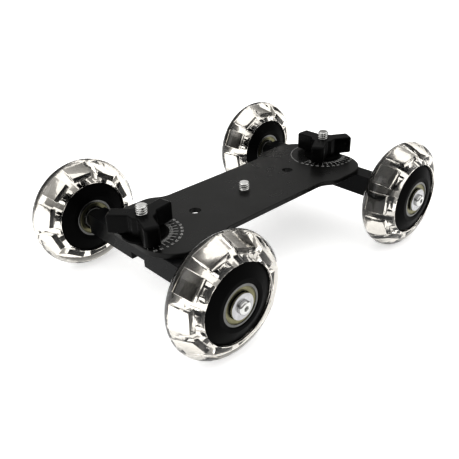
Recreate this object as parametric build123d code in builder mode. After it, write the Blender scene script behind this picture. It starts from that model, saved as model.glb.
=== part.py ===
"""Tabletop camera dolly: a dog-bone deck on two swivelling trucks with clear skate wheels.

Frame: origin on the floor under the middle of the deck, +X towards the front truck,
+Y to the left, +Z up.  Both trucks are straight, with their axles along Y.
"""

from build123d import *
import os
from math import atan, cos, sin

# Driving dimensions, in millimetres
WHEELBASE = 145.0          # pivot to pivot
TRACK = 120.0              # wheel centre to wheel centre
WHEEL_R = 32.0             # 64 mm skate wheel
AXLE_Z = WHEEL_R

# Deck plate
DECK_T = 3.0
DECK_BOTTOM = 38.2
DECK_TOP = DECK_BOTTOM + DECK_T
DECK_HALF_LENGTH = 82.0
DECK_CORNER_R = 20.0
WAIST_HALF_WIDTH = 26.7
LOBE_HALF_WIDTH = 32.0
WAIST_END_X = 35.0         # where the waist starts to widen
LOBE_START_X = 50.0        # where the lobe has its full width
SIDE_HOLE_X = 38.0
SIDE_HOLE_R = 3.2
HOLE_CHAMFER = 0.15
EDGE_CHAMFER = 0.35

# Quarter-inch hardware
STUD_R = 3.175
STUD_CLEARANCE = 0.075
STUD_TIP_CHAMFER = 0.6
PIVOT_HOLE_R = STUD_R + STUD_CLEARANCE
CAMERA_NECK_R = 2.9        # the neck fills its tapped hole, at the thread's mean radius
CAMERA_STUD_TOP = 45.7
CAMERA_HEAD_R = 5.5
CAMERA_HEAD_T = 2.2
HEAD_SOCKET_AF = 4.0       # across flats of the hex sockets
HEAD_SOCKET_DEPTH = 1.4

# Truck bar
BAR_WIDTH = 11.2
BAR_HEIGHT = 12.8
BAR_BOTTOM = DECK_BOTTOM - BAR_HEIGHT
BAR_HALF_LENGTH = 46.0
NOTCH_WIDTH = 11.4
NOTCH_DEPTH = 4.3
NOTCH_TOP = BAR_BOTTOM + NOTCH_DEPTH

# Pivot bolt, with its head in a counterbore over the notch
PIVOT_HEAD_R = 4.4
PIVOT_HEAD_T = 3.4
PIVOT_HEAD_RECESS = 0.3
PIVOT_COUNTERBORE_R = 4.5
PIVOT_STUD_TOP = 57.5

# Three-arm knob
KNOB_ARMS = 3
KNOB_TIP_R = 18.5
KNOB_ARM_WIDTH = 8.2
KNOB_HUB_R = 7.6
KNOB_COLLAR_R = 8.2
KNOB_ARM_BOTTOM = 42.6
KNOB_TOP = 53.1
KNOB_DOME_R = 19.0         # the arms end inside this radius
KNOB_TIP_ROUND = 2.2
KNOB_NECK_FILLET = 2.0
KNOB_CORNER_FILLET = 1.6
KNOB_BORE_R = 3.4          # plain hole over the insert
INSERT_R = 4.8
INSERT_BOTTOM = 42.4       # a little above the knob's foot
INSERT_TOP = 48.5
WASHER_R = 11.6
WASHER_T = 1.0
KNOB_ANGLES = {"front": 88.0, "rear": 129.5}   # direction of one arm, in degrees

# Skate wheel, about its own axis
TYRE_HALF_WIDTH = 10.2
TREAD_DEPTH = 12.0
CORE_R = 20.6
CORE_HALF_WIDTH = 9.0
HUB_R = 13.4
HUB_HALF_WIDTH = 11.2
LUG_COUNT = 10
LUG_STEM_WIDTH = 3.5
LUG_STEM_HALF_DEPTH = 3.6
LUG_BAR_INNER_R = 22.0     # distance of the flat bar's two faces from the axle
LUG_BAR_OUTER_R = 24.6
LUG_BAR_LENGTH = 10.6
LUG_BAR_HALF_DEPTH = 4.2
WHEEL_ANGLES = {           # where one lug points, in degrees up from +X
    "front_left": 10.0,
    "front_right": 28.5,
    "rear_left": 20.6,
    "rear_right": 33.7,
}
LUG_OVERLAP = 0.3          # how far a stem runs into the core and into its bar
CORE_BORE_R = 8.6

# 608 bearing
BEARING_OUTER_R = 11.0
BEARING_BORE_R = 4.0
BEARING_WIDTH = 7.0
BEARING_FACE = 10.9        # outer face, from the middle of the wheel
OUTER_RACE_WALL = 1.6
INNER_RACE_WALL = 1.95
BALL_R = 1.95
BALL_COUNT = 7
RUNNING_GAP = 0.05
SEAT_GAP = 0.02            # between a bearing and its seat in the core
SHIELD_T = 0.35
SHIELD_INSET = 0.25
SHIELD_INNER_R = 6.9
SEAT_R = BEARING_OUTER_R + SEAT_GAP

# Axle hardware on each end of a bar
SLEEVE_R = 3.97
SCREW_SHANK_R = 2.0
SLEEVE_BORE_R = 2.1
COLLAR_R = 5.6
SPACER_R = 5.6
AXLE_WASHER_R = 6.75
AXLE_WASHER_T = 1.2
SCREW_HEAD_R = 3.5
SCREW_HEAD_T = 2.2
SCREW_HEAD_ROUND = 0.9
AXLE_SOCKET_AF = 2.5
AXLE_SOCKET_DEPTH = 1.3
SCREW_GRIP = 14.0          # length of screw inside the bar
TAPPED_DEPTH = 15.0

# Worked out from the above
TRUCKS = {"front": WHEELBASE / 2, "rear": -WHEELBASE / 2}
SIDES = {"left": 1, "right": -1}
BEARING_INNER_FACE = BEARING_FACE - BEARING_WIDTH
BALL_TRACK_R = (BEARING_OUTER_R + BEARING_BORE_R) / 2


def save(shape, name):
    """Label a finished piece and write it under its own name."""
    shape.label = name
    export_step(shape, f"parts/{name}.step")


def radial_plane(x, y):
    """Level plane through an axle: local x is radial, local y runs along the axle."""
    return Plane(origin=(x, y, AXLE_Z))


def cross_plane(x, y):
    """Plane across an axle at (x, y), with local y upwards."""
    return Plane(origin=(x, y, AXLE_Z), x_dir=(1, 0, 0), z_dir=(0, -1, 0))


def axle_axis(x, y):
    """The axis that a wheel at (x, y) turns on."""
    return Axis((x, y, AXLE_Z), (0, 1, 0))


def ring_section(inner_r, outer_r, low, high):
    """Draw the section of a ring between two radii and two places along its axle."""
    with Locations(((inner_r + outer_r) / 2, (low + high) / 2)):
        Rectangle(outer_r - inner_r, high - low)


# Deck ----------------------------------------------------------------------------------


def deck_outline():
    """Dog-bone outline: a waist that widens in an S to two lobes with straight ends."""
    run = LOBE_START_X - WAIST_END_X
    rise = LOBE_HALF_WIDTH - WAIST_HALF_WIDTH
    swing = 2 * atan(rise / run)
    middle = (WAIST_END_X + run / 2, WAIST_HALF_WIDTH + rise / 2)
    corner_x = DECK_HALF_LENGTH - DECK_CORNER_R
    corner_y = LOBE_HALF_WIDTH - DECK_CORNER_R
    with BuildSketch() as outline:
        with BuildLine():
            Line((0, WAIST_HALF_WIDTH), (WAIST_END_X, WAIST_HALF_WIDTH))
            TangentArc((WAIST_END_X, WAIST_HALF_WIDTH), middle, tangent=(1, 0))
            TangentArc(middle, (LOBE_START_X, LOBE_HALF_WIDTH), tangent=(cos(swing), sin(swing)))
            Line((LOBE_START_X, LOBE_HALF_WIDTH), (corner_x, LOBE_HALF_WIDTH))
            TangentArc((corner_x, LOBE_HALF_WIDTH), (DECK_HALF_LENGTH, corner_y), tangent=(1, 0))
            Line((DECK_HALF_LENGTH, corner_y), (DECK_HALF_LENGTH, 0))
            mirror(about=Plane.YZ)
            mirror(about=Plane.XZ)
        make_face()
    return outline.sketch


def make_deck_plate():
    """Flat plate with two pivot holes, two accessory holes and the camera screw's hole."""
    with BuildPart() as deck:
        with BuildSketch(Plane.XY.offset(DECK_BOTTOM)):
            add(deck_outline())
        extrude(amount=DECK_T)
        chamfer(deck.faces().filter_by(Axis.Z).edges(), length=EDGE_CHAMFER)
        with Locations((-WHEELBASE / 2, 0, DECK_TOP), (WHEELBASE / 2, 0, DECK_TOP)):
            Hole(PIVOT_HOLE_R)
        with Locations((-SIDE_HOLE_X, 0, DECK_TOP), (SIDE_HOLE_X, 0, DECK_TOP)):
            Hole(SIDE_HOLE_R)
        flat_faces = deck.faces().filter_by(Axis.Z)
        hole_edges = [rim for face in flat_faces for wire in face.inner_wires() for rim in wire.edges()]
        chamfer(hole_edges, length=HOLE_CHAMFER)
        with Locations((0, 0, DECK_TOP)):
            Hole(CAMERA_NECK_R)
    save(deck.part, "deck_plate")


def make_camera_screw():
    """Quarter-inch screw, its low socket head under the deck and its stud standing above."""
    with BuildPart() as screw:
        with BuildSketch(Plane.XY.offset(DECK_BOTTOM - CAMERA_HEAD_T)):
            Circle(CAMERA_HEAD_R)
        extrude(amount=CAMERA_HEAD_T)
        chamfer(screw.edges().group_by(Axis.Z)[0], length=EDGE_CHAMFER)
        with BuildSketch(Plane.XY.offset(DECK_BOTTOM)):
            Circle(CAMERA_NECK_R)
        extrude(amount=DECK_T)
        with BuildSketch(Plane.XY.offset(DECK_TOP)):
            Circle(STUD_R)
        extrude(amount=CAMERA_STUD_TOP - DECK_TOP)
        chamfer(screw.edges().group_by(Axis.Z)[-1], length=STUD_TIP_CHAMFER)
        with BuildSketch(Plane.XY.offset(DECK_BOTTOM - CAMERA_HEAD_T)):
            RegularPolygon(HEAD_SOCKET_AF / 2, 6, major_radius=False)
        extrude(amount=HEAD_SOCKET_DEPTH, mode=Mode.SUBTRACT)
    save(screw.part, "camera_screw")


# Trucks --------------------------------------------------------------------------------


def make_bar(truck, x):
    """Square-section bar with a notch underneath, a counterbored pivot hole and tapped ends."""
    with BuildPart() as bar:
        with BuildSketch(Plane(origin=(x, 0, BAR_BOTTOM))):
            Rectangle(BAR_WIDTH, 2 * BAR_HALF_LENGTH)
        extrude(amount=BAR_HEIGHT)
        chamfer(bar.edges(), length=EDGE_CHAMFER)
        with BuildSketch(Plane(origin=(x, 0, BAR_BOTTOM))):
            Rectangle(BAR_WIDTH, NOTCH_WIDTH)
        extrude(amount=NOTCH_DEPTH, mode=Mode.SUBTRACT)
        with Locations(Plane(origin=(x, 0, NOTCH_TOP), z_dir=(0, 0, -1))):
            CounterBoreHole(PIVOT_HOLE_R, PIVOT_COUNTERBORE_R, PIVOT_HEAD_RECESS + PIVOT_HEAD_T)
        for side in SIDES.values():
            end = Plane(origin=(x, side * BAR_HALF_LENGTH, AXLE_Z), z_dir=(0, side, 0))
            with Locations(end):
                Hole(SLEEVE_BORE_R, depth=TAPPED_DEPTH)
    save(bar.part, f"{truck}_truck_bar")


def make_pivot_bolt(truck, x):
    """Socket-head bolt that rises through the bar, the deck and the knob."""
    head_bottom = NOTCH_TOP + PIVOT_HEAD_RECESS
    with BuildPart() as bolt:
        with BuildSketch(Plane(origin=(x, 0, head_bottom))):
            Circle(PIVOT_HEAD_R)
        extrude(amount=PIVOT_HEAD_T)
        chamfer(bolt.edges().group_by(Axis.Z)[0], length=EDGE_CHAMFER)
        with BuildSketch(Plane(origin=(x, 0, head_bottom))):
            Circle(STUD_R)
        extrude(amount=PIVOT_STUD_TOP - head_bottom)
        chamfer(bolt.edges().group_by(Axis.Z)[-1], length=STUD_TIP_CHAMFER)
        with BuildSketch(Plane(origin=(x, 0, head_bottom))):
            RegularPolygon(HEAD_SOCKET_AF / 2, 6, major_radius=False)
        extrude(amount=HEAD_SOCKET_DEPTH, mode=Mode.SUBTRACT)
    save(bolt.part, f"{truck}_pivot_bolt")


# Clamping knobs ------------------------------------------------------------------------


def make_knob(truck, x, angle):
    """Three flat arms round a hub, with a collar below and a pocket for the metal insert."""
    pivot = Axis((x, 0, 0), (0, 0, 1))
    seat = DECK_TOP + WASHER_T
    with BuildPart() as knob:
        with BuildSketch(Plane(origin=(x, 0, KNOB_ARM_BOTTOM))) as outline:
            Circle(KNOB_HUB_R)
            with PolarLocations(KNOB_TIP_R / 2, KNOB_ARMS, start_angle=angle):
                Rectangle(KNOB_TIP_R, KNOB_ARM_WIDTH)
            from_middle = outline.vertices().sort_by_distance((0, 0, 0))
            fillet(from_middle[2 * KNOB_ARMS:], radius=KNOB_CORNER_FILLET)
            necks = outline.vertices().sort_by_distance((0, 0, 0))[: 2 * KNOB_ARMS]
            fillet(necks, radius=KNOB_NECK_FILLET)
        extrude(amount=KNOB_TOP - KNOB_ARM_BOTTOM)
        with BuildSketch(Plane(origin=(x, 0, 0), x_dir=(1, 0, 0), z_dir=(0, -1, 0))) as dome:
            ring_section(0, KNOB_DOME_R, KNOB_ARM_BOTTOM, KNOB_TOP)
            top_corner = dome.vertices().group_by(Axis.X)[-1].sort_by(Axis.Y)[-1]
            fillet(top_corner, radius=KNOB_TIP_ROUND)
        revolve(axis=pivot, mode=Mode.INTERSECT)
        with BuildSketch(Plane(origin=(x, 0, seat))):
            Circle(KNOB_COLLAR_R)
        extrude(amount=KNOB_ARM_BOTTOM - seat)
        with BuildSketch(Plane(origin=(x, 0, seat))):
            Circle(INSERT_R)
        extrude(amount=INSERT_TOP - seat, mode=Mode.SUBTRACT)
        with Locations((x, 0, KNOB_TOP)):
            Hole(KNOB_BORE_R)
    save(knob.part, f"{truck}_knob")


def make_knob_insert(truck, x):
    """Threaded metal bush moulded into the knob."""
    with BuildPart() as insert:
        with BuildSketch(Plane(origin=(x, 0, INSERT_BOTTOM))):
            Circle(INSERT_R)
            Circle(PIVOT_HOLE_R, mode=Mode.SUBTRACT)
        extrude(amount=INSERT_TOP - INSERT_BOTTOM)
    save(insert.part, f"{truck}_knob_insert")


def make_knob_washer(truck, x):
    """Flat friction washer between the knob and the deck."""
    with BuildPart() as washer:
        with BuildSketch(Plane(origin=(x, 0, DECK_TOP))):
            Circle(WASHER_R)
            Circle(PIVOT_HOLE_R, mode=Mode.SUBTRACT)
        extrude(amount=WASHER_T)
    save(washer.part, f"{truck}_knob_washer")


# Wheels --------------------------------------------------------------------------------


def make_lugs(x, y, angle):
    """T-shaped lugs round the core: a stem from the rim and a flat bar across its end."""
    stem_middle = (CORE_R + LUG_BAR_INNER_R) / 2
    stem_length = LUG_BAR_INNER_R - CORE_R + 2 * LUG_OVERLAP
    bar_middle = (LUG_BAR_INNER_R + LUG_BAR_OUTER_R) / 2
    with BuildPart() as lugs:
        with BuildSketch(cross_plane(x, y)):
            with PolarLocations(stem_middle, LUG_COUNT, start_angle=angle):
                Rectangle(stem_length, LUG_STEM_WIDTH)
        extrude(amount=LUG_STEM_HALF_DEPTH, both=True)
        with BuildSketch(cross_plane(x, y)):
            with PolarLocations(bar_middle, LUG_COUNT, start_angle=angle):
                Rectangle(LUG_BAR_OUTER_R - LUG_BAR_INNER_R, LUG_BAR_LENGTH)
        extrude(amount=LUG_BAR_HALF_DEPTH, both=True)
    return lugs.part


def make_core(corner, x, y, lugs):
    """Moulded core: a coned disc with two bearing seats, a middle web and ten lugs."""
    with BuildPart() as core:
        with BuildSketch(radial_plane(x, y)):
            with BuildLine():
                Polyline(
                    (CORE_BORE_R, 0),
                    (CORE_BORE_R, BEARING_INNER_FACE),
                    (SEAT_R, BEARING_INNER_FACE),
                    (SEAT_R, HUB_HALF_WIDTH),
                    (HUB_R, HUB_HALF_WIDTH),
                    (CORE_R, CORE_HALF_WIDTH),
                    (CORE_R, 0),
                    close=True,
                )
            make_face()
            mirror(about=Plane.XZ)
        revolve(axis=axle_axis(x, y))
        add(lugs)
    save(core.part, f"{corner}_wheel_core")


def make_tyre(corner, x, y, lugs):
    """Clear tyre of half-elliptical section, moulded round the core and its lugs."""
    with BuildPart() as tyre:
        with BuildSketch(radial_plane(x, y)):
            with Locations((WHEEL_R - TREAD_DEPTH, 0)):
                Ellipse(TREAD_DEPTH, TYRE_HALF_WIDTH)
            with Locations((CORE_R / 2, 0)):
                Rectangle(CORE_R, 2 * HUB_HALF_WIDTH, mode=Mode.SUBTRACT)
        revolve(axis=axle_axis(x, y))
        add(lugs, mode=Mode.SUBTRACT)
    save(tyre.part, f"{corner}_wheel_tyre")


def make_outer_races(corner, x, y):
    """Outer rings of the wheel's two bearings, each with its ball groove."""
    with BuildPart() as races:
        for side in SIDES.values():
            middle = side * (BEARING_FACE - BEARING_WIDTH / 2)
            with BuildSketch(radial_plane(x, y)):
                ring_section(
                    BEARING_OUTER_R - OUTER_RACE_WALL,
                    BEARING_OUTER_R,
                    middle - BEARING_WIDTH / 2,
                    middle + BEARING_WIDTH / 2,
                )
                with Locations((BALL_TRACK_R, middle)):
                    Circle(BALL_R + RUNNING_GAP, mode=Mode.SUBTRACT)
            revolve(axis=axle_axis(x, y))
    save(races.part, f"{corner}_bearing_outer_races")


def make_balls(corner, x, y):
    """Seven balls in each of the wheel's two bearings."""
    with BuildPart() as balls:
        for side in SIDES.values():
            middle = side * (BEARING_FACE - BEARING_WIDTH / 2)
            centre = Plane(origin=(x, y + middle, AXLE_Z), x_dir=(1, 0, 0), z_dir=(0, -1, 0))
            with Locations(centre):
                with PolarLocations(BALL_TRACK_R, BALL_COUNT):
                    Sphere(BALL_R)
    save(balls.part, f"{corner}_bearing_balls")


def make_shields(corner, x, y):
    """Thin steel shields that close both faces of both bearings."""
    near_edge = SHIELD_INSET
    far_edge = BEARING_WIDTH - SHIELD_INSET - SHIELD_T
    with BuildPart() as shields:
        with BuildSketch(radial_plane(x, y)):
            for side in SIDES.values():
                for inset in (near_edge, far_edge):
                    low, high = sorted(
                        (side * (BEARING_FACE - inset), side * (BEARING_FACE - inset - SHIELD_T))
                    )
                    ring_section(SHIELD_INNER_R, BEARING_OUTER_R - OUTER_RACE_WALL, low, high)
        revolve(axis=axle_axis(x, y))
    save(shields.part, f"{corner}_bearing_shields")


# Axle hardware, one solid or pair of solids for each side of a truck ---------------------


def wheel_centres():
    """Each side's sign and its wheel's place along Y."""
    return [(side, side * TRACK / 2) for side in SIDES.values()]


def make_inner_races(truck, x):
    """Inner rings of the four bearings on one truck."""
    with BuildPart() as races:
        for _, y in wheel_centres():
            for face in SIDES.values():
                middle = face * (BEARING_FACE - BEARING_WIDTH / 2)
                with BuildSketch(radial_plane(x, y)):
                    ring_section(
                        BEARING_BORE_R,
                        BEARING_BORE_R + INNER_RACE_WALL,
                        middle - BEARING_WIDTH / 2,
                        middle + BEARING_WIDTH / 2,
                    )
                    with Locations((BALL_TRACK_R, middle)):
                        Circle(BALL_R + RUNNING_GAP, mode=Mode.SUBTRACT)
                revolve(axis=axle_axis(x, y))
    save(races.part, f"{truck}_bearing_inner_races")


def make_axle_rings(truck, x, name, inner_r, outer_r, near, far):
    """A plain ring round each axle, between two distances outwards from the wheel's middle."""
    with BuildPart() as rings:
        for side, y in wheel_centres():
            low, high = sorted((side * near, side * far))
            with BuildSketch(radial_plane(x, y)):
                ring_section(inner_r, outer_r, low, high)
            revolve(axis=axle_axis(x, y))
    save(rings.part, f"{truck}_{name}")


def make_axle_screws(truck, x):
    """Screws that clamp the washers and inner rings to the bar's ends."""
    head_seat = TRACK / 2 + BEARING_FACE + AXLE_WASHER_T
    with BuildPart() as screws:
        for side in SIDES.values():
            seat = Plane(origin=(x, side * head_seat, AXLE_Z), z_dir=(0, side, 0))
            with BuildSketch(seat):
                Circle(SCREW_SHANK_R)
            extrude(amount=-(head_seat - BAR_HALF_LENGTH + SCREW_GRIP))
            with BuildSketch(seat):
                Circle(SCREW_HEAD_R)
            extrude(amount=SCREW_HEAD_T)
            outer_face = screws.faces().sort_by(Axis.Y)[-1 if side > 0 else 0]
            fillet(outer_face.edges(), radius=SCREW_HEAD_ROUND)
            with BuildSketch(seat.offset(SCREW_HEAD_T)):
                RegularPolygon(AXLE_SOCKET_AF / 2, 6, major_radius=False)
            extrude(amount=-AXLE_SOCKET_DEPTH, mode=Mode.SUBTRACT)
    save(screws.part, f"{truck}_axle_screws")


def make_axle_hardware(truck, x):
    """Everything on the axles of one truck that doesn't turn with the wheels."""
    bar_end = BAR_HALF_LENGTH - TRACK / 2
    make_inner_races(truck, x)
    make_axle_rings(truck, x, "axle_sleeves", SLEEVE_BORE_R, SLEEVE_R, bar_end, BEARING_FACE)
    make_axle_rings(truck, x, "axle_collars", BEARING_BORE_R, COLLAR_R, bar_end, -BEARING_FACE)
    make_axle_rings(
        truck, x, "bearing_spacers", BEARING_BORE_R, SPACER_R, -BEARING_INNER_FACE, BEARING_INNER_FACE
    )
    washer_face = BEARING_FACE + AXLE_WASHER_T
    make_axle_rings(
        truck, x, "axle_washers", SLEEVE_BORE_R, AXLE_WASHER_R, BEARING_FACE, washer_face
    )
    make_axle_screws(truck, x)


def make_wheel(corner, x, y):
    """The pieces that turn together as one wheel."""
    lugs = make_lugs(x, y, WHEEL_ANGLES[corner])
    make_tyre(corner, x, y, lugs)
    make_core(corner, x, y, lugs)
    make_outer_races(corner, x, y)
    make_balls(corner, x, y)
    make_shields(corner, x, y)


def main():
    os.makedirs("parts", exist_ok=True)
    make_deck_plate()
    make_camera_screw()
    for truck, x in TRUCKS.items():
        make_bar(truck, x)
        make_pivot_bolt(truck, x)
        make_knob(truck, x, KNOB_ANGLES[truck])
        make_knob_insert(truck, x)
        make_knob_washer(truck, x)
        make_axle_hardware(truck, x)
        for side_name, side in SIDES.items():
            make_wheel(f"{truck}_{side_name}", x, side * TRACK / 2)


main()
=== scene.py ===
"""Looks of the tabletop camera dolly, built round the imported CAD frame. Lengths are in metres."""

import math

import bmesh
import bpy
from mathutils import Matrix, Quaternion, Vector


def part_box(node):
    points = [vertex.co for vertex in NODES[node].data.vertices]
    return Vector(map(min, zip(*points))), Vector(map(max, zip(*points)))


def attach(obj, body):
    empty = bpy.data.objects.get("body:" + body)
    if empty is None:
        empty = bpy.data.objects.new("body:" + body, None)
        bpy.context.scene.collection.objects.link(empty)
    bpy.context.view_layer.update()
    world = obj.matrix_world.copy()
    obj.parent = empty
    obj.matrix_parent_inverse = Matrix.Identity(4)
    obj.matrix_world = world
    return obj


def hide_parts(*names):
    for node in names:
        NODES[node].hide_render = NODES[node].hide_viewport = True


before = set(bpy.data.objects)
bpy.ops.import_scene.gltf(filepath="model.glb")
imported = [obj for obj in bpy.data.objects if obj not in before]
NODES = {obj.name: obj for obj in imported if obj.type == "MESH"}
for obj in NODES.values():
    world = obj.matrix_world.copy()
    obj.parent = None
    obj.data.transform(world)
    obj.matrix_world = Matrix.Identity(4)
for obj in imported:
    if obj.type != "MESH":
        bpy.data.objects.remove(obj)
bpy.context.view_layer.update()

MM = 0.001

TRUCKS = ("front", "rear")
CORNERS = ("front_left", "front_right", "rear_left", "rear_right")

# Light and looks
URETHANE_TINT = (0.915, 0.885, 0.83)
WORLD_LOW = 0.2
WORLD_HIGH = 0.6
LAMP_POWERS = (12.0, 2.0, 1.0)
FLOOR_GLOW = 0.62
VIEW_GAMMA = 0.76
VIEW_EXPOSURE = 0.0

# Camera: where it stands, how it is turned, and its lens on a 36 mm sensor
CAMERA_PLACE = (-0.21391, -0.21862, 0.18504)
CAMERA_AZIMUTH = -42.6
CAMERA_ELEVATION = 29.21
CAMERA_ROLL = -1.88
CAMERA_LENS = 44.95
SENSOR_WIDTH = 36.0

# Smoothness of turned shapes
WHEEL_SEGMENTS = 160
RING_SEGMENTS = 96
BOLT_SEGMENTS = 48
SHARP_ANGLE = math.radians(32)
BEVEL_ANGLE = math.radians(40)

# Quarter-inch thread
THREAD_PITCH = 1.27 * MM
THREAD_DEPTH = 0.75 * MM
THREAD_STEPS = 12          # rows of points in one turn
THREAD_TIP = 0.6 * MM      # chamfer at the tip
STUD_R = 3.175 * MM

# Heads and necks of the camera screw and the pivot bolts
CAMERA_HEAD_R = 5.5 * MM
CAMERA_HEAD_T = 2.2 * MM
CAMERA_NECK_R = 2.9 * MM
PIVOT_HEAD_R = 4.4 * MM
PIVOT_HEAD_T = 3.4 * MM
PIVOT_NECK_R = 3.1 * MM
PIVOT_THREAD_RISE = 1.0 * MM   # start of the thread above the deck
BOLT_HEX = 4.0 * MM
BOLT_HEX_DEPTH = 1.4 * MM

# Wheel
TREAD_DEPTH = 12.0 * MM
TYRE_LIP_ROUND = 0.4 * MM
POCKET_GAP = 0.08 * MM     # thin air film between the clear tyre and the lugs
LUG_COUNT = 10
LUG_STEM_WIDTH = 3.5 * MM
LUG_STEM_HALF_DEPTH = 3.6 * MM
LUG_BAR_INNER_R = 22.0 * MM
LUG_BAR_OUTER_R = 24.6 * MM
LUG_BAR_LENGTH = 10.6 * MM
LUG_BAR_HALF_DEPTH = 4.2 * MM
LUG_EDGE_ROUND = 0.25 * MM
CORE_R = 20.6 * MM
CORE_HALF_WIDTH = 9.0 * MM
HUB_R = 13.4 * MM
HUB_HALF_WIDTH = 11.2 * MM
SEAT_R = 11.02 * MM
CORE_BORE_R = 8.6 * MM
BEARING_FACE = 10.9 * MM
BEARING_WIDTH = 7.0 * MM
RACE_INNER_R = 9.4 * MM
RACE_OUTER_R = 11.0 * MM
SHIELD_INSET = 0.25 * MM

# Knob
KNOB_ARMS = 3
KNOB_TIP_R = 18.5 * MM
KNOB_HALF_ARM = 4.1 * MM
KNOB_HUB_R = 7.6 * MM
KNOB_COLLAR_R = 8.2 * MM
KNOB_FOOT = 0.4 * MM       # how far the collar holds the arms above the washer
KNOB_EDGE_ROUND = 0.75 * MM
KNOB_CORNER_R = 1.6 * MM
KNOB_NECK_R = 2.0 * MM
KNOB_DOME_R = 19.0 * MM
KNOB_TIP_ROUND = 2.2 * MM
KNOB_BORE_R = 3.4 * MM
INSERT_R = 4.8 * MM

# Print on the deck
PRINT_MARGIN = 0.6 * MM
PRINT_HEIGHT = 0.02 * MM
TICK_START_R = 13.0 * MM
SHORT_TICK_R = 15.0 * MM
LONG_TICK_R = 17.6 * MM
SHORT_TICK_HALF = 0.065 * MM
LONG_TICK_HALF = 0.13 * MM
NUMERAL_SIZE = 2.1 * MM
NUMERAL_R = 19.5 * MM
NUMERAL_END_R = 20.4 * MM
ARC_INNER_R = 20.25 * MM
ARC_OUTER_R = 20.45 * MM

# Axle hardware
AXLE_R = 4.0 * MM
SLEEVE_R = 3.97 * MM
SLEEVE_BORE_R = 2.1 * MM
INNER_RACE_R = 5.95 * MM
COLLAR_R = 5.6 * MM
WASHER_R = 6.75 * MM
WASHER_T = 1.2 * MM
SCREW_HEAD_R = 3.5 * MM
SCREW_SHANK_R = 2.0 * MM
SCREW_IN_BAR = 14.0 * MM
SCREW_HEX = 2.5 * MM
SCREW_HEX_DEPTH = 1.3 * MM
COLLAR_START = 14.0 * MM   # inwards from the wheel's middle


# Places read from the frame --------------------------------------------------------------


def middle_of(node):
    """Middle of a CAD node's box."""
    low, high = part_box(node)
    return (low + high) / 2


def lug_angle(corner):
    """Angle, up from +X, of one of the core's lugs, from the corners of all their stems."""
    centre = middle_of(f"{corner}_wheel_tyre")
    total = 0j
    for vertex in NODES[f"{corner}_wheel_core"].data.vertices:
        x, z = vertex.co.x - centre.x, vertex.co.z - centre.z
        reach = math.hypot(x, z)
        if CORE_R + 1 * MM < reach < LUG_BAR_INNER_R + 0.1 * MM:
            total += (complex(x, z) / reach) ** LUG_COUNT
    return math.atan2(total.imag, total.real) / LUG_COUNT


# Mesh making -----------------------------------------------------------------------------


def finish_mesh(mesh):
    """Weld, point the normals outwards and shade smooth but for real edges."""
    work = bmesh.new()
    work.from_mesh(mesh)
    bmesh.ops.remove_doubles(work, verts=work.verts, dist=1e-7)
    bmesh.ops.dissolve_degenerate(work, edges=work.edges, dist=1e-8)
    bmesh.ops.recalc_face_normals(work, faces=work.faces)
    work.to_mesh(mesh)
    work.free()
    mesh.shade_smooth()
    mesh.set_sharp_from_angle(angle=SHARP_ANGLE)
    return mesh


def loft(name, rings, closed=False):
    """Skin over rings with equal numbers of points; the ends are capped unless closed."""
    count = len(rings[0])
    points = [point for ring in rings for point in ring]
    faces = []
    spans = len(rings) if closed else len(rings) - 1
    for row in range(spans):
        this, following = row * count, (row + 1) % len(rings) * count
        for i in range(count):
            j = (i + 1) % count
            faces.append((this + i, this + j, following + j, following + i))
    if not closed:
        faces.append(tuple(range(count)))
        faces.append(tuple(len(points) - count + i for i in range(count)))
    mesh = bpy.data.meshes.new(name)
    mesh.from_pydata(points, [], faces)
    return finish_mesh(mesh)


def circle(radius, z, count=RING_SEGMENTS):
    """Ring of points round the Z axis."""
    steps = [2 * math.pi * i / count for i in range(count)]
    return [(radius * math.cos(a), radius * math.sin(a), z) for a in steps]


def hexagon(across_flats, z, count=BOLT_SEGMENTS):
    """Ring of points round a hexagon."""
    ring = []
    for i in range(count):
        angle = 2 * math.pi * i / count
        off_flat = (angle + math.pi / 6) % (math.pi / 3) - math.pi / 6
        reach = across_flats / 2 / math.cos(off_flat)
        ring.append((reach * math.cos(angle), reach * math.sin(angle), z))
    return ring


def rounded(corners, steps=4):
    """Closed outline through (x, y, radius) corners, each turned by an arc of its radius."""
    outline = []
    for i, (x, y, radius) in enumerate(corners):
        here = Vector((x, y))
        before = Vector(corners[i - 1][:2]) - here
        after = Vector(corners[(i + 1) % len(corners)][:2]) - here
        if radius <= 0:
            outline.append(tuple(here))
            continue
        half = before.angle(after) / 2
        reach = min(radius / math.tan(half), before.length * 0.49, after.length * 0.49)
        radius = reach * math.tan(half)
        bisector = (before.normalized() + after.normalized()).normalized()
        centre = here + bisector * (radius / math.sin(half))
        first = here + before.normalized() * reach - centre
        last = here + after.normalized() * reach - centre
        swing = first.angle_signed(last)
        for k in range(steps + 1):
            turn = Matrix.Rotation(-swing * k / steps, 2)
            outline.append(tuple(centre + turn @ first))
    return outline


def lathe(name, outline, count=RING_SEGMENTS):
    """Turn a closed (radius, height) outline round the Z axis."""
    return loft(name, [circle(r, z, count) for r, z in outline], closed=True)


def joined(name, meshes):
    """One mesh holding several, each closed in itself."""
    work = bmesh.new()
    for mesh in meshes:
        work.from_mesh(mesh)
    whole = bpy.data.meshes.new(name)
    work.to_mesh(whole)
    work.free()
    return finish_mesh(whole)


def moved(mesh, matrix):
    """A copy of a mesh in another place."""
    copy = mesh.copy()
    copy.transform(matrix)
    return copy


def both_sides(name, mesh):
    """A mesh together with its mirror image below."""
    return joined(name, [mesh, moved(mesh, Matrix.Scale(-1, 4, (0, 0, 1)))])


def box_mesh(name, size, place):
    """Axis-aligned block, which the lugs are made of."""
    (dx, dy, dz), (x, y, z) = (s / 2 for s in size), place
    level = [(-dx, -dy), (dx, -dy), (dx, dy), (-dx, dy)]
    rings = [[(x + a, y + b, z + c) for a, b in level] for c in (-dz, dz)]
    return loft(name, rings)


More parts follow.
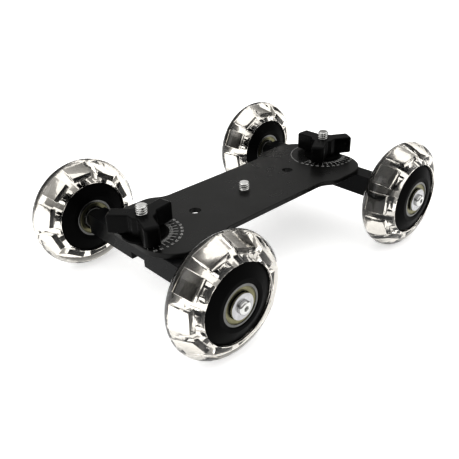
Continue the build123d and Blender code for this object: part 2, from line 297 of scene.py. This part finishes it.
def add_bevel(obj, width):
    """Round an object's sharp edges."""
    modifier = obj.modifiers.new("soft_edges", "BEVEL")
    modifier.width = width
    modifier.segments = 2
    modifier.limit_method = "ANGLE"
    modifier.angle_limit = BEVEL_ANGLE


def bevelled(mesh, width):
    """A copy of a mesh with its sharp edges rounded."""
    obj = bpy.data.objects.new("bevel", mesh)
    bpy.context.scene.collection.objects.link(obj)
    add_bevel(obj, width)
    seen = obj.evaluated_get(bpy.context.evaluated_depsgraph_get())
    result = bpy.data.meshes.new_from_object(seen)
    bpy.data.objects.remove(obj)
    return result


def combined(name, base, tools, operation):
    """Boolean of a base mesh with a tool mesh."""
    objects = [bpy.data.objects.new(f"{name}_{i}", m) for i, m in enumerate((base, tools))]
    for obj in objects:
        bpy.context.scene.collection.objects.link(obj)
    modifier = objects[0].modifiers.new("cut", "BOOLEAN")
    modifier.operation = operation
    modifier.solver = "EXACT"
    modifier.use_self = True
    modifier.object = objects[1]
    seen = objects[0].evaluated_get(bpy.context.evaluated_depsgraph_get())
    result = bpy.data.meshes.new_from_object(seen)
    for obj in objects:
        bpy.data.objects.remove(obj)
    result.name = name
    return finish_mesh(result)


def piece(name, mesh, material, body, slot, replaced=(), place=(0, 0, 0), turn=None):
    """Add a finished piece that rides on a body and stands for CAD nodes."""
    mesh = moved(mesh, turn.to_matrix().to_4x4() if turn else Matrix.Identity(4))
    obj = bpy.data.objects.new(name, mesh)
    bpy.context.scene.collection.objects.link(obj)
    mesh.materials.clear()
    mesh.materials.append(material)
    obj.location = place
    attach(obj, body)
    if replaced:
        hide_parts(*replaced)
    return obj


def finish_node(node, material, bevel=0.0):
    """Give a CAD node its material, and soften its edges."""
    obj = NODES[node]
    obj.data.materials.clear()
    obj.data.materials.append(material)
    if bevel:
        add_bevel(obj, bevel)


# Materials -------------------------------------------------------------------------------


class Shader:
    """A Principled material with a few short ways to add nodes."""

    def __init__(self, name, colour, roughness, metallic=0.0, specular=0.5):
        self.material = bpy.data.materials.new(name)
        self.material.use_nodes = True
        self.tree = self.material.node_tree
        self.shader = self.tree.nodes["Principled BSDF"]
        self.set("Base Color", (*colour, 1.0))
        self.set("Roughness", roughness)
        self.set("Metallic", metallic)
        self.set("Specular IOR Level", specular)

    def set(self, socket, value):
        self.shader.inputs[socket].default_value = value

    def node(self, kind, **values):
        made = self.tree.nodes.new(kind)
        for key, value in values.items():
            setattr(made, key, value)
        return made

    def link(self, source, target):
        self.tree.links.new(source, target)

    def place(self):
        """Coordinates fixed to the piece."""
        return self.node("ShaderNodeTexCoord").outputs["Object"]

    def noise(self, scale, detail=3.0, rough=0.5, place=None):
        texture = self.node("ShaderNodeTexNoise")
        texture.inputs["Scale"].default_value = scale
        texture.inputs["Detail"].default_value = detail
        texture.inputs["Roughness"].default_value = rough
        self.link(place or self.place(), texture.inputs["Vector"])
        return texture.outputs["Fac"]

    def spread(self, value, low, high, start=0.3, end=0.7):
        """Map a texture's middle range onto low to high."""
        mapping = self.node("ShaderNodeMapRange")
        for key, number in (("From Min", start), ("From Max", end), ("To Min", low), ("To Max", high)):
            mapping.inputs[key].default_value = number
        self.link(value, mapping.inputs["Value"])
        return mapping.outputs["Result"]

    def blend_colours(self, value, first, second, start=0.3, end=0.7):
        ramp = self.node("ShaderNodeValToRGB")
        ramp.color_ramp.elements[0].position = start
        ramp.color_ramp.elements[0].color = (*first, 1.0)
        ramp.color_ramp.elements[1].position = end
        ramp.color_ramp.elements[1].color = (*second, 1.0)
        self.link(value, ramp.inputs["Fac"])
        self.link(ramp.outputs["Color"], self.shader.inputs["Base Color"])

    def bump(self, value, height, strength=1.0):
        bump = self.node("ShaderNodeBump")
        bump.inputs["Strength"].default_value = strength
        bump.inputs["Distance"].default_value = height
        self.link(value, bump.inputs["Height"])
        self.link(bump.outputs["Normal"], self.shader.inputs["Normal"])

    def rings(self, scale):
        """Fine turned rings round the piece's Y axis, along which the axles lie."""
        split = self.node("ShaderNodeSeparateXYZ")
        self.link(self.place(), split.inputs["Vector"])
        flat = self.node("ShaderNodeCombineXYZ")
        self.link(split.outputs["X"], flat.inputs["X"])
        self.link(split.outputs["Z"], flat.inputs["Y"])
        length = self.node("ShaderNodeVectorMath", operation="LENGTH")
        self.link(flat.outputs["Vector"], length.inputs[0])
        texture = self.node("ShaderNodeTexNoise", noise_dimensions="1D")
        texture.inputs["Scale"].default_value = scale
        texture.inputs["Detail"].default_value = 4.0
        self.link(length.outputs["Value"], texture.inputs["W"])
        return texture.outputs["Fac"]


def anodised_black(name, specular, colour):
    made = Shader(name, colour, 0.32, specular=specular)
    blasted = made.noise(9000.0, 2.0)
    handled = made.noise(45.0, 5.0, 0.6)
    made.link(made.spread(handled, 0.24, 0.36), made.shader.inputs["Roughness"])
    made.blend_colours(handled, tuple(c * 0.8 for c in colour), tuple(c * 1.3 for c in colour))
    made.bump(blasted, 0.004 * MM, 0.6)
    return made.material


def moulded_black(name, roughness, grain, specular):
    made = Shader(name, (0.002, 0.002, 0.002), roughness, specular=specular)
    texture = made.noise(grain, 3.0)
    patches = made.noise(120.0, 4.0)
    made.link(made.spread(patches, roughness - 0.05, roughness + 0.07), made.shader.inputs["Roughness"])
    made.blend_colours(patches, (0.001, 0.001, 0.001), (0.003, 0.003, 0.003))
    made.bump(texture, 0.01 * MM, 0.5)
    return made.material


def turned_metal(name, colour, roughness, darker=0.8, rings=6000.0):
    made = Shader(name, colour, roughness, metallic=1.0)
    grooves = made.rings(rings)
    made.link(made.spread(grooves, roughness - 0.06, roughness + 0.08), made.shader.inputs["Roughness"])
    made.blend_colours(made.noise(300.0), tuple(c * darker for c in colour), colour)
    made.bump(grooves, 0.004 * MM, 0.5)
    return made.material


def plated_metal(name, colour, roughness):
    made = Shader(name, colour, roughness, metallic=1.0)
    spots = made.noise(700.0, 5.0)
    made.link(made.spread(spots, roughness - 0.04, roughness + 0.08), made.shader.inputs["Roughness"])
    made.blend_colours(made.noise(250.0), tuple(c * 0.86 for c in colour), colour)
    made.bump(spots, 0.006 * MM, 0.4)
    return made.material


def clear_urethane():
    made = Shader("clear_urethane", URETHANE_TINT, 0.02)
    made.set("Transmission Weight", 1.0)
    made.set("IOR", 1.5)
    scuffs = made.noise(180.0, 6.0, 0.65)
    made.link(made.spread(scuffs, 0.02, 0.13, 0.4, 0.7), made.shader.inputs["Roughness"])
    made.bump(made.noise(110.0, 3.0), 0.3 * MM, 0.7)
    return made.material


def printed_white():
    made = Shader("white_print", (0.75, 0.75, 0.74), 0.5)
    made.blend_colours(made.noise(2500.0, 3.0), (0.6, 0.6, 0.59), (0.82, 0.82, 0.81))
    return made.material


def pale_floor():
    made = Shader("pale_floor", (0.78, 0.78, 0.78), 0.9, specular=0.0)
    made.blend_colours(made.noise(3.0), (0.77, 0.77, 0.77), (0.79, 0.79, 0.79))
    made.set("Emission Color", (1.0, 1.0, 1.0, 1.0))
    made.set("Emission Strength", FLOOR_GLOW)
    return made.material


ANODISED = anodised_black("deck_anodised", 0.27, (0.0100, 0.0100, 0.0095))
BAR_ANODISED = anodised_black("bar_anodised", 0.16, (0.0050, 0.0054, 0.0060))
CORE_PLASTIC = moulded_black("core_plastic", 0.34, 2500.0, 0.05)
KNOB_PLASTIC = moulded_black("knob_plastic", 0.3, 3500.0, 0.13)
WASHER_NYLON = moulded_black("washer_nylon", 0.5, 5000.0, 0.1)
URETHANE = clear_urethane()
RACE_STEEL = turned_metal("race_steel", (0.2, 0.2, 0.195), 0.22)
SHIELD_STEEL = turned_metal("shield_steel", (0.26, 0.25, 0.16), 0.3)
WASHER_STEEL = turned_metal("washer_steel", (0.55, 0.55, 0.56), 0.22)
SCREW_STEEL = plated_metal("screw_steel", (0.7, 0.7, 0.69), 0.12)
BRASS = turned_metal("insert_brass", (0.62, 0.5, 0.27), 0.28)
PRINT = printed_white()


# Wheels ----------------------------------------------------------------------------------


def about_y():
    """Turn that lays a piece made round the Z axis along +Y."""
    return Quaternion((1, 0, 0), -math.pi / 2)


def lugs_mesh(grow=0.0, root=0.0):
    """The ten T-shaped lugs, round the Z axis, grown on every side by a gap."""
    stem_start = CORE_R - root
    stem_end = LUG_BAR_INNER_R + 0.3 * MM
    stem = box_mesh(
        "stem",
        (stem_end - stem_start, LUG_STEM_WIDTH + 2 * grow, 2 * (LUG_STEM_HALF_DEPTH + grow)),
        ((stem_start + stem_end) / 2, 0, 0),
    )
    bar = box_mesh(
        "bar",
        (
            LUG_BAR_OUTER_R - LUG_BAR_INNER_R + 2 * grow,
            LUG_BAR_LENGTH + 2 * grow,
            2 * (LUG_BAR_HALF_DEPTH + grow),
        ),
        ((LUG_BAR_INNER_R + LUG_BAR_OUTER_R) / 2, 0, 0),
    )
    lug = bevelled(combined("lug", stem, bar, "UNION"), LUG_EDGE_ROUND)
    turns = [Matrix.Rotation(2 * math.pi * i / LUG_COUNT, 4, "Z") for i in range(LUG_COUNT)]
    return joined("lugs", [moved(lug, turn) for turn in turns])


def tyre_mesh():
    """Half-elliptical tyre, hollowed where the lugs sit."""
    low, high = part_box("rear_right_wheel_tyre")
    half_width = (high.y - low.y) / 2
    tread_r = (high.z - low.z) / 2
    centre_r = tread_r - TREAD_DEPTH
    bore = CORE_R + POCKET_GAP
    lip = math.acos((bore + TYRE_LIP_ROUND - centre_r) / TREAD_DEPTH)
    steps = 56
    arc = [lip - 2 * lip * i / steps for i in range(steps + 1)]
    outline = [(centre_r + TREAD_DEPTH * math.cos(a), half_width * math.sin(a)) for a in arc]
    lip_z = outline[0][1] - TYRE_LIP_ROUND / 2
    outline = [(bore, lip_z), *outline, (bore, -lip_z)]
    blank = lathe("tyre", outline, WHEEL_SEGMENTS)
    return combined("tyre", blank, lugs_mesh(POCKET_GAP, 0.5 * MM), "DIFFERENCE")


def core_mesh():
    """Coned disc with rounded edges, two bearing seats and the ten lugs."""
    seat = BEARING_FACE - BEARING_WIDTH
    half = [
        (CORE_BORE_R, seat, 0.2 * MM),
        (SEAT_R, seat, 0),
        (SEAT_R, HUB_HALF_WIDTH, 0.2 * MM),
        (HUB_R, HUB_HALF_WIDTH, 1.2 * MM),
        (CORE_R, CORE_HALF_WIDTH, 0.5 * MM),
    ]
    other = [(r, -z, radius) for r, z, radius in reversed(half)]
    disc = lathe("core", rounded(half + other), WHEEL_SEGMENTS)
    return combined("core", disc, lugs_mesh(0.0, 0.6 * MM), "UNION")


def both_bearings(name, outline):
    """A turned outline, given inwards from the outer face of a bearing, in both bearings."""
    outer = [(r, BEARING_FACE - depth) for r, depth in outline]
    return both_sides(name, lathe(name, outer))


def race_mesh():
    """Outer rings with chamfered edges."""
    return both_bearings(
        "race",
        rounded([
            (RACE_INNER_R, 0, 0.15 * MM),
            (RACE_OUTER_R, 0, 0.45 * MM),
            (RACE_OUTER_R, BEARING_WIDTH, 0.45 * MM),
            (RACE_INNER_R, BEARING_WIDTH, 0.15 * MM),
        ]),
    )


def shield_mesh():
    """Pressed shields: a rolled rim, a groove and a flat web, at both faces of each bearing."""
    def shield(start, step):
        profile = [
            (9.35, 0.1), (9.25, 0.0), (9.0, -0.05), (8.8, 0.2), (8.6, 0.24),
            (7.2, 0.24), (6.9, 0.34), (6.9, 0.54), (7.2, 0.46), (8.7, 0.46), (9.35, 0.5),
        ]
        return [(r * MM, start + step * depth * MM) for r, depth in profile]

    front = both_bearings("shield", shield(SHIELD_INSET, 1))
    back = both_bearings("shield", shield(BEARING_WIDTH - SHIELD_INSET, -1))
    return joined("shields", [front, back])


def make_wheels():
    tyre, core, races, shields = tyre_mesh(), core_mesh(), race_mesh(), shield_mesh()
    for corner in CORNERS:
        body = f"{corner}_wheel"
        centre = middle_of(f"{corner}_wheel_tyre")
        turn = Quaternion((0, 1, 0), -lug_angle(corner)) @ about_y()
        for name, mesh, material, slot, node in (
            ("tyre", tyre, URETHANE, "clear_urethane", f"{corner}_wheel_tyre"),
            ("core", core, CORE_PLASTIC, "black_plastic", f"{corner}_wheel_core"),
            ("races", races, RACE_STEEL, "bearing_steel", f"{corner}_bearing_outer_races"),
            ("shields", shields, SHIELD_STEEL, "bearing_shield", f"{corner}_bearing_shields"),
        ):
            piece(f"{corner}_{name}", mesh, material, body, slot, (node,), centre, turn)
        finish_node(f"{corner}_bearing_balls", SCREW_STEEL)


# Screws ----------------------------------------------------------------------------------


def thread_rings(radius, low, high, tip):
    """Rings up a screw thread, fading in at the bottom and chamfered at the tip."""
    rings = []
    rows = round((high - low) / THREAD_PITCH * THREAD_STEPS)
    for row in range(rows + 1):
        z = low + (high - low) * row / rows
        fade = min(1.0, (z - low) / THREAD_PITCH)
        limit = radius - max(0.0, z - (high - tip))
        ring = []
        for i in range(BOLT_SEGMENTS):
            turn = i / BOLT_SEGMENTS
            phase = (z / THREAD_PITCH - turn) % 1.0
            groove = max(0.0, 1.0 - abs(2 * phase - 1) * 1.25)
            reach = min(limit, radius - fade * THREAD_DEPTH * groove)
            angle = 2 * math.pi * turn
            ring.append((reach * math.cos(angle), reach * math.sin(angle), z))
        rings.append(ring)
    return rings


def socket_rings(across_flats, depth, face, inwards):
    """Rings down a hexagon socket from its face, ending in a drill point."""
    return [
        hexagon(across_flats * 0.4, face + inwards * (depth + 0.25 * MM)),
        hexagon(across_flats, face + inwards * depth),
        hexagon(across_flats, face + inwards * 0.1 * MM),
        hexagon(across_flats * 1.06, face),
    ]


def bolt_mesh(node, head_r, head_t, neck_r, thread_start):
    """Socket-head screw standing upright, threaded from a height to its tip."""
    low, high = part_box(node)
    bottom, top = low.z, high.z
    rings = socket_rings(BOLT_HEX, BOLT_HEX_DEPTH, bottom, 1)
    for radius, z in (
        (head_r - 0.4 * MM, bottom),
        (head_r, bottom + 0.4 * MM),
        (head_r, bottom + head_t - 0.1 * MM),
        (head_r - 0.1 * MM, bottom + head_t),
        (neck_r, bottom + head_t),
        (neck_r, thread_start - 0.1 * MM),
    ):
        rings.append(circle(radius, z, BOLT_SEGMENTS))
    rings += thread_rings(STUD_R, thread_start, top, THREAD_TIP)
    return loft(node, rings)


def make_bolts():
    deck_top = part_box("deck_plate")[1].z
    mesh = bolt_mesh("camera_screw", CAMERA_HEAD_R, CAMERA_HEAD_T, CAMERA_NECK_R, deck_top)
    piece("camera_stud", mesh, SCREW_STEEL, "deck", "bright_steel", ("camera_screw",))
    for truck in TRUCKS:
        node = f"{truck}_pivot_bolt"
        start = deck_top + PIVOT_THREAD_RISE
        mesh = bolt_mesh(node, PIVOT_HEAD_R, PIVOT_HEAD_T, PIVOT_NECK_R, start)
        place = middle_of(node)
        place.z = 0
        piece(
            f"{truck}_pivot_stud", mesh, SCREW_STEEL, f"{truck}_truck", "bright_steel", (node,), place
        )


# Axles -----------------------------------------------------------------------------------


def screw_head_rings(radius, height, shank_r, shank_length):
    """Button head on a shank, its face upwards at the height."""
    rings = [circle(shank_r, -shank_length, BOLT_SEGMENTS), circle(shank_r, -0.01 * MM, BOLT_SEGMENTS)]
    rings.append(circle(radius - 0.15 * MM, 0, BOLT_SEGMENTS))
    rings.append(circle(radius, 0.15 * MM, BOLT_SEGMENTS))
    side = height * 0.45
    for k in range(7):
        a = math.pi / 2 * k / 6
        reach = radius - 1.3 * MM * (1 - math.cos(a))
        rings.append(circle(reach, side + (height - side) * math.sin(a), BOLT_SEGMENTS))
    rings += list(reversed(socket_rings(SCREW_HEX, SCREW_HEX_DEPTH, height, -1)))
    return rings


def ring_mesh(name, inner, outer, low, high, edge):
    """Turned ring with rounded edges, round the Z axis."""
    corners = [(inner, low), (outer, low), (outer, high), (inner, high)]
    return lathe(name, rounded([(r, z, edge) for r, z in corners]))


def make_axles():
    """Rings and screws on each axle, measured outwards from the wheel's middle."""
    inner_face = BEARING_FACE - BEARING_WIDTH
    washer_face = BEARING_FACE + WASHER_T
    inner_race = ring_mesh("race", AXLE_R, INNER_RACE_R, inner_face, BEARING_FACE, 0.3 * MM)
    rings = (
        (
            "axle_collars", BAR_ANODISED, "black_anodised",
            ring_mesh("collar", AXLE_R, COLLAR_R, -COLLAR_START, -BEARING_FACE, 0.3 * MM),
        ),
        (
            "axle_sleeves", SCREW_STEEL, "bright_steel",
            ring_mesh("sleeve", SLEEVE_BORE_R, SLEEVE_R, -COLLAR_START, BEARING_FACE, 0.1 * MM),
        ),
        (
            "bearing_spacers", SCREW_STEEL, "bright_steel",
            ring_mesh("spacer", AXLE_R, COLLAR_R, -inner_face, inner_face, 0.2 * MM),
        ),
        (
            "bearing_inner_races", RACE_STEEL, "bearing_steel",
            both_sides("races", inner_race),
        ),
        (
            "axle_washers", WASHER_STEEL, "zinc_steel",
            ring_mesh("washer", SLEEVE_BORE_R, WASHER_R, BEARING_FACE, washer_face, 0.25 * MM),
        ),
    )
    turns = {"left": about_y(), "right": Quaternion((1, 0, 0), math.pi / 2)}
    for truck in TRUCKS:
        body = f"{truck}_truck"
        finish_node(f"{truck}_truck_bar", BAR_ANODISED)
        screws = f"{truck}_axle_screws"
        for side, turn in turns.items():
            sign = 1 if side == "left" else -1
            centre = middle_of(f"{truck}_{side}_wheel_tyre")
            for kind, material, slot, mesh in rings:
                name = f"{truck}_{side}_{kind}"
                piece(name, mesh, material, body, slot, (f"{truck}_{kind}",), centre, turn)
            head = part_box(screws)[1].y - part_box(f"{truck}_axle_washers")[1].y
            length = washer_face + COLLAR_START + SCREW_IN_BAR
            screw = loft("axle_screw", screw_head_rings(SCREW_HEAD_R, head, SCREW_SHANK_R, length))
            seat = centre + Vector((0, sign * washer_face, 0))
            piece(
                f"{truck}_{side}_axle_screw", screw, SCREW_STEEL, body, "bright_steel",
                (screws,), seat, turn,
            )


# Knobs -----------------------------------------------------------------------------------


def knob_outline():
    """Outline of three arms round a hub, as angle-ordered points with rounded corners."""
    corners = []
    for arm in range(KNOB_ARMS):
        turn = Matrix.Rotation(2 * math.pi * arm / KNOB_ARMS, 2)
        root = math.sqrt(KNOB_HUB_R**2 - KNOB_HALF_ARM**2)
        for x, y, radius in (
            (root, -KNOB_HALF_ARM, KNOB_NECK_R),
            (KNOB_TIP_R, -KNOB_HALF_ARM, KNOB_CORNER_R),
            (KNOB_TIP_R, KNOB_HALF_ARM, KNOB_CORNER_R),
            (root, KNOB_HALF_ARM, KNOB_NECK_R),
        ):
            corners.append((*(turn @ Vector((x, y))), radius))
        middle = turn @ Vector((math.cos(math.pi / 3), math.sin(math.pi / 3))) * KNOB_HUB_R
        corners.append((*middle, 1.5 * MM))
    return [Vector(p) for p in rounded(corners, 6)]


def inset(outline, distance):
    """Move each point of a counter-clockwise outline inwards, across its own edge."""
    moved_points = []
    for i, point in enumerate(outline):
        along = (outline[(i + 1) % len(outline)] - outline[i - 1]).normalized()
        moved_points.append(point + Vector((-along.y, along.x)) * distance)
    return moved_points


def tip_drop(reach):
    """How far the top falls away towards the arm's end."""
    past = max(0.0, reach - (KNOB_DOME_R - KNOB_TIP_ROUND))
    past = min(past, KNOB_TIP_ROUND)
    return KNOB_TIP_ROUND - math.sqrt(KNOB_TIP_ROUND**2 - past**2)


def knob_mesh(name, node, seat, pocket_top):
    """Skin of the whole knob, from the seat up the arms, over the top and down the bore."""
    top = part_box(node)[1].z
    under = seat + KNOB_FOOT
    outline = knob_outline()
    angles = [math.atan2(p.y, p.x) for p in outline]
    edge = KNOB_EDGE_ROUND

    def ring(points, z, domed=False):
        return [(p.x, p.y, z - (tip_drop(p.length) if domed else 0)) for p in points]

    def hoop(radius, z):
        return [(radius * math.cos(a), radius * math.sin(a), z) for a in angles]

    rings = [hoop(INSERT_R, seat), hoop(KNOB_COLLAR_R - 0.2 * MM, seat)]
    rings += [hoop(KNOB_COLLAR_R, seat + 0.15 * MM), hoop(KNOB_COLLAR_R, under)]
    rings.append(ring(inset(outline, edge / 2), under))
    rings.append(ring(outline, under + edge / 2))
    for k in range(6):
        a = math.pi / 2 * k / 5
        points = inset(outline, edge * (1 - math.cos(a)))
        rings.append(ring(points, top - edge + edge * math.sin(a), domed=True))
    start = inset(outline, edge)
    for k in range(1, 15):
        share = k / 14
        points = []
        for point, angle in zip(start, angles):
            goal = Vector((math.cos(angle), math.sin(angle))) * (KNOB_BORE_R + 0.2 * MM)
            points.append(point.lerp(goal, share))
        rings.append(ring(points, top, domed=True))
    rings += [hoop(KNOB_BORE_R, top - 0.2 * MM), hoop(KNOB_BORE_R, pocket_top)]
    rings.append(hoop(INSERT_R, pocket_top))
    return loft(name, rings, closed=True)


def knob_angle(node, pivot):
    """Direction of one arm, from where the CAD knob reaches furthest."""
    total = 0j
    for vertex in NODES[node].data.vertices:
        x, y = vertex.co.x - pivot.x, vertex.co.y - pivot.y
        if math.hypot(x, y) > KNOB_TIP_R - 1.5 * MM:
            total += (complex(x, y) / math.hypot(x, y)) ** KNOB_ARMS
    return math.atan2(total.imag, total.real) / KNOB_ARMS


def make_knobs():
    for truck in TRUCKS:
        node, washer = f"{truck}_knob", f"{truck}_knob_washer"
        pivot = middle_of(washer)
        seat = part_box(washer)[1].z
        mesh = knob_mesh(node, node, seat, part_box(f"{node}_insert")[1].z)
        turn = Quaternion((0, 0, 1), knob_angle(node, pivot))
        place = (pivot.x, pivot.y, 0)
        piece(f"{truck}_knob_body", mesh, KNOB_PLASTIC, node, "black_plastic", (node,), place, turn)
        finish_node(f"{truck}_knob_insert", BRASS, 0.15 * MM)
        finish_node(washer, WASHER_NYLON, 0.15 * MM)


# Deck ------------------------------------------------------------------------------------


def band(name, inner, outer, start, end, z, height, steps):
    """Flat printed arc or tick between two radii and two angles."""
    rings = []
    for k in range(steps + 1):
        a = math.radians(start + (end - start) * k / steps)
        c, s = math.cos(a), math.sin(a)
        rings.append([
            (inner * c, inner * s, z),
            (outer * c, outer * s, z),
            (outer * c, outer * s, z + height),
            (inner * c, inner * s, z + height),
        ])
    return loft(name, rings)


def numeral(text, size, radius, angle, z, height):
    """A number standing on its radius, its foot towards the pivot."""
    curve = bpy.data.curves.new("numeral", "FONT")
    curve.body = text
    curve.size = size
    curve.align_x, curve.align_y = "CENTER", "CENTER"
    curve.extrude = height / 2
    curve.resolution_u = 3
    obj = bpy.data.objects.new("numeral", curve)
    bpy.context.scene.collection.objects.link(obj)
    mesh = bpy.data.meshes.new_from_object(obj.evaluated_get(bpy.context.evaluated_depsgraph_get()))
    bpy.data.objects.remove(obj)
    turn = Matrix.Rotation(math.radians(angle - 90), 4, "Z")
    mesh.transform(turn @ Matrix.Translation((0, radius, z + height / 2)))
    return mesh


def make_scale(truck):
    """Printed degree scale on the right half, and a plain arc beside the front pivot's left.

    Only marks that lie wholly on the deck are printed.
    """
    pivot = middle_of(f"{truck}_knob_washer")
    low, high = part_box("deck_plate")
    z, height = high.z, PRINT_HEIGHT
    room = min(pivot.x - low.x, high.x - pivot.x) - PRINT_MARGIN
    outward = math.copysign(1, pivot.x)
    parts = []
    if truck == "front":
        parts.append(band("arc", ARC_INNER_R, ARC_OUTER_R, 70, 172, z, height, 60))
    for degree in range(-180, 1, 2):
        across = outward * math.cos(math.radians(degree))
        if degree % 10 == 0:
            reach, half = LONG_TICK_R, LONG_TICK_HALF
            if across * NUMERAL_END_R < room:
                label = str(abs(degree + 90))
                parts.append(numeral(label, NUMERAL_SIZE, NUMERAL_R, degree, z, height))
        else:
            reach, half = SHORT_TICK_R, SHORT_TICK_HALF
        spread = math.degrees(half / SHORT_TICK_R)
        if across * reach < room:
            start, end = degree - spread, degree + spread
            parts.append(band("tick", TICK_START_R, reach, start, end, z, height, 1))
    mesh = joined("scale", parts)
    piece(f"{truck}_degree_scale", mesh, PRINT, "deck", "black_anodised", (), (pivot.x, pivot.y, 0))


def make_deck():
    finish_node("deck_plate", ANODISED)
    for truck in TRUCKS:
        make_scale(truck)


# Studio ----------------------------------------------------------------------------------


def make_floor():
    side = 12.0
    ring = [(-side, -side), (side, -side), (side, side), (-side, side)]
    mesh = bpy.data.meshes.new("floor")
    mesh.from_pydata([(x, y, 0) for x, y in ring], [], [(0, 1, 2, 3)])
    floor = bpy.data.objects.new("floor", mesh)
    bpy.context.scene.collection.objects.link(floor)
    mesh.materials.append(pale_floor())


def make_light(name, place, target, size, power):
    lamp = bpy.data.lights.new(name, "AREA")
    lamp.shape = "RECTANGLE"
    lamp.size, lamp.size_y = size
    lamp.energy = power
    obj = bpy.data.objects.new(name, lamp)
    obj.location = place
    aim = Vector(target) - Vector(place)
    obj.rotation_mode = "QUATERNION"
    obj.rotation_quaternion = aim.to_track_quat("-Z", "Y")
    bpy.context.scene.collection.objects.link(obj)


def make_world():
    """A pale room, darker at eye level than overhead."""
    world = bpy.data.worlds.new("studio")
    world.use_nodes = True
    tree = world.node_tree
    background = tree.nodes["Background"]
    background.inputs["Color"].default_value = (1, 0.99, 0.97, 1)
    direction = tree.nodes.new("ShaderNodeTexCoord").outputs["Generated"]
    split = tree.nodes.new("ShaderNodeSeparateXYZ")
    tree.links.new(direction, split.inputs["Vector"])
    rise = tree.nodes.new("ShaderNodeMapRange")
    rise.inputs["From Min"].default_value = 0.0
    rise.inputs["From Max"].default_value = 0.6
    rise.inputs["To Min"].default_value = WORLD_LOW
    rise.inputs["To Max"].default_value = WORLD_HIGH
    tree.links.new(split.outputs["Z"], rise.inputs["Value"])
    tree.links.new(rise.outputs["Result"], background.inputs["Strength"])
    bpy.context.scene.world = world


def make_camera():
    data = bpy.data.cameras.new("camera")
    data.lens = CAMERA_LENS
    data.sensor_width = SENSOR_WIDTH
    camera = bpy.data.objects.new("camera", data)
    azimuth, elevation = math.radians(CAMERA_AZIMUTH), math.radians(CAMERA_ELEVATION)
    back = Vector((
        math.sin(azimuth) * math.cos(elevation),
        -math.cos(azimuth) * math.cos(elevation),
        math.sin(elevation),
    ))
    camera.location = CAMERA_PLACE
    camera.rotation_mode = "QUATERNION"
    level = (-back).to_track_quat("-Z", "Y")
    camera.rotation_quaternion = level @ Quaternion((0, 0, 1), math.radians(CAMERA_ROLL))
    bpy.context.scene.collection.objects.link(camera)
    bpy.context.scene.camera = camera


def make_studio():
    make_floor()
    make_light("top", (0.0, 0.1, 0.9), (0, 0, 0), (2.4, 2.4), LAMP_POWERS[0])
    make_light("left", (-0.9, 0.3, 0.5), (0, 0, 0), (0.6, 0.9), LAMP_POWERS[1])
    make_light("right", (0.7, -0.8, 0.5), (0, 0, 0), (0.6, 0.9), LAMP_POWERS[2])
    make_world()
    make_camera()
    view = bpy.context.scene.view_settings
    view.view_transform = "Standard"
    view.exposure = VIEW_EXPOSURE
    view.gamma = VIEW_GAMMA


make_wheels()
make_bolts()
make_axles()
make_knobs()
make_deck()
make_studio()
